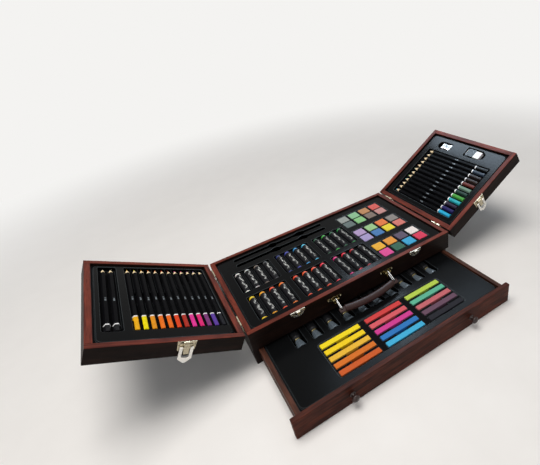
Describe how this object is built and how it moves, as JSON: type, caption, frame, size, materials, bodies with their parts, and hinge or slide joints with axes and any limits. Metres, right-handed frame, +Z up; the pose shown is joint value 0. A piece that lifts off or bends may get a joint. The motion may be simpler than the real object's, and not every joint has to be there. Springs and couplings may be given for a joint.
{
  "type": "wooden art set box",
  "caption": "Stained wooden artist's case standing open, with two hinged tray wings, draw latches, a carrying handle and a drawer, filled with pencils, pastels and paints.",
  "frame": {"origin": "centre of the underside of the case, on the surface that it stands on", "axes": "+X across the case to the viewer's right, +Z up, -Y to the front, where the drawer opens"},
  "size_m": [0.8532, 0.4101, 0.1904],
  "materials": {
    "mahogany_wood": "dark mahogany stain under satin lacquer",
    "stained_plywood": "dark stained plywood",
    "drawer_wood": "stained, unlacquered",
    "black_moulded_plastic": "thermoformed, matt",
    "oil_pastel": "waxy, many colours",
    "black_paper": "coated paper",
    "watercolour_cake": "dry pigment, many colours",
    "soft_pastel": "chalky, many colours",
    "lacquered_pencil_wood": "black lacquer with sharpened wooden cones",
    "brush_lacquer": "black lacquer",
    "brush_hair": "hair",
    "nickel_plate": "nickel plate",
    "brass_plate": "brass-coloured plate",
    "brown_leather": "stitched dark brown",
    "knob_lacquer": "dark lacquer",
    "paint_tube_foil": "black enamel",
    "gold_ring": "gold-coloured",
    "black_cap_plastic": "glossy",
    "cast_magnesium": "milled",
    "white_vinyl": "matt",
    "card_sleeve": "printed card, bare"
  },
  "bodies": {
    "case": {"back_panel": "mahogany_wood", "left_side_panel": "mahogany_wood", "right_side_panel": "mahogany_wood", "front_rail": "mahogany_wood", "bottom_panel": "stained_plywood", "deck_panel": "stained_plywood", "drawer_runners": "drawer_wood", "drawer_stops": "drawer_wood", "top_tray": "black_moulded_plastic", "oil_pastels": "oil_pastel", "pastel_sleeves": "black_paper", "watercolour_cakes": "watercolour_cake", "brush_handles": "brush_lacquer", "brush_tufts": "brush_hair", "brush_ferrules": "nickel_plate", "case_hinge_leaves": "brass_plate", "hinge_pins": "brass_plate", "latch_keepers": "brass_plate", "handle_brackets": "brass_plate", "case_screws": "brass_plate"},
    "drawer": {"drawer_front": "mahogany_wood", "drawer_sides": "drawer_wood", "drawer_back": "drawer_wood", "drawer_bottom": "drawer_wood", "drawer_tray": "black_moulded_plastic", "drawer_knobs": "knob_lacquer", "soft_pastels": "soft_pastel", "tube_bodies": "paint_tube_foil", "tube_collars": "gold_ring", "tube_caps": "black_cap_plastic"},
    "left_wing": {"left_wing_end_rails": "mahogany_wood", "left_wing_side_rails": "mahogany_wood", "left_wing_panel": "stained_plywood", "left_wing_tray": "black_moulded_plastic", "left_wing_hinge_leaves": "brass_plate", "left_wing_screws": "brass_plate", "left_coloured_pencils": "lacquered_pencil_wood", "left_latch_plate": "nickel_plate", "left_latch_pin": "nickel_plate", "graphite_pencils": "lacquered_pencil_wood"},
    "right_wing": {"right_wing_end_rails": "mahogany_wood", "right_wing_side_rails": "mahogany_wood", "right_wing_panel": "stained_plywood", "right_wing_tray": "black_moulded_plastic", "right_wing_hinge_leaves": "brass_plate", "right_wing_screws": "brass_plate", "right_coloured_pencils": "lacquered_pencil_wood", "right_latch_plate": "nickel_plate", "right_latch_pin": "nickel_plate", "sharpener_body": "cast_magnesium", "sharpener_blade": "nickel_plate", "eraser": "white_vinyl", "eraser_sleeve": "card_sleeve"},
    "handle": {"handle_rings": "brass_plate", "handle_grip": "brown_leather"},
    "left_lever": {"left_latch_lever": "nickel_plate"},
    "right_lever": {"right_latch_lever": "nickel_plate"},
    "left_loop": {"left_latch_loop": "nickel_plate"},
    "right_loop": {"right_latch_loop": "nickel_plate"}
  },
  "joints": [
    {"name": "left_wing_hinge", "type": "hinge", "parent": "case", "child": "left_wing", "pos_m": [-0.2218, 0, 0.08015], "axis": [0, 1, 0], "range_deg": [0, 150]},
    {"name": "right_wing_hinge", "type": "hinge", "parent": "case", "child": "right_wing", "pos_m": [0.2218, 0, 0.08015], "axis": [0, -1, 0], "range_deg": [0, 150]},
    {"name": "drawer_slide", "type": "slide", "parent": "case", "child": "drawer", "axis": [0, 1, 0], "range_m": [0, 0.152]},
    {"name": "handle_pivot", "type": "hinge", "parent": "case", "child": "handle", "pos_m": [0, -0.128, 0.064], "axis": [-1, 0, 0], "range_deg": [0, 100]},
    {"name": "left_lever_pivot", "type": "hinge", "parent": "left_wing", "child": "left_lever", "pos_m": [-0.30413, -0.1256, 0.12116], "axis": [0.866, 0, -0.5], "range_deg": [-110, 0]},
    {"name": "left_loop_pivot", "type": "hinge", "parent": "left_lever", "child": "left_loop", "pos_m": [-0.30663, -0.1256, 0.11683], "axis": [-0.866, 0, 0.5], "range_deg": [0, 180]},
    {"name": "right_lever_pivot", "type": "hinge", "parent": "right_wing", "child": "right_lever", "pos_m": [0.30413, -0.1256, 0.12116], "axis": [0.866, 0, 0.5], "range_deg": [-110, 0]},
    {"name": "right_loop_pivot", "type": "hinge", "parent": "right_lever", "child": "right_loop", "pos_m": [0.30663, -0.1256, 0.11683], "axis": [-0.866, 0, -0.5], "range_deg": [0, 180]}
  ]
}
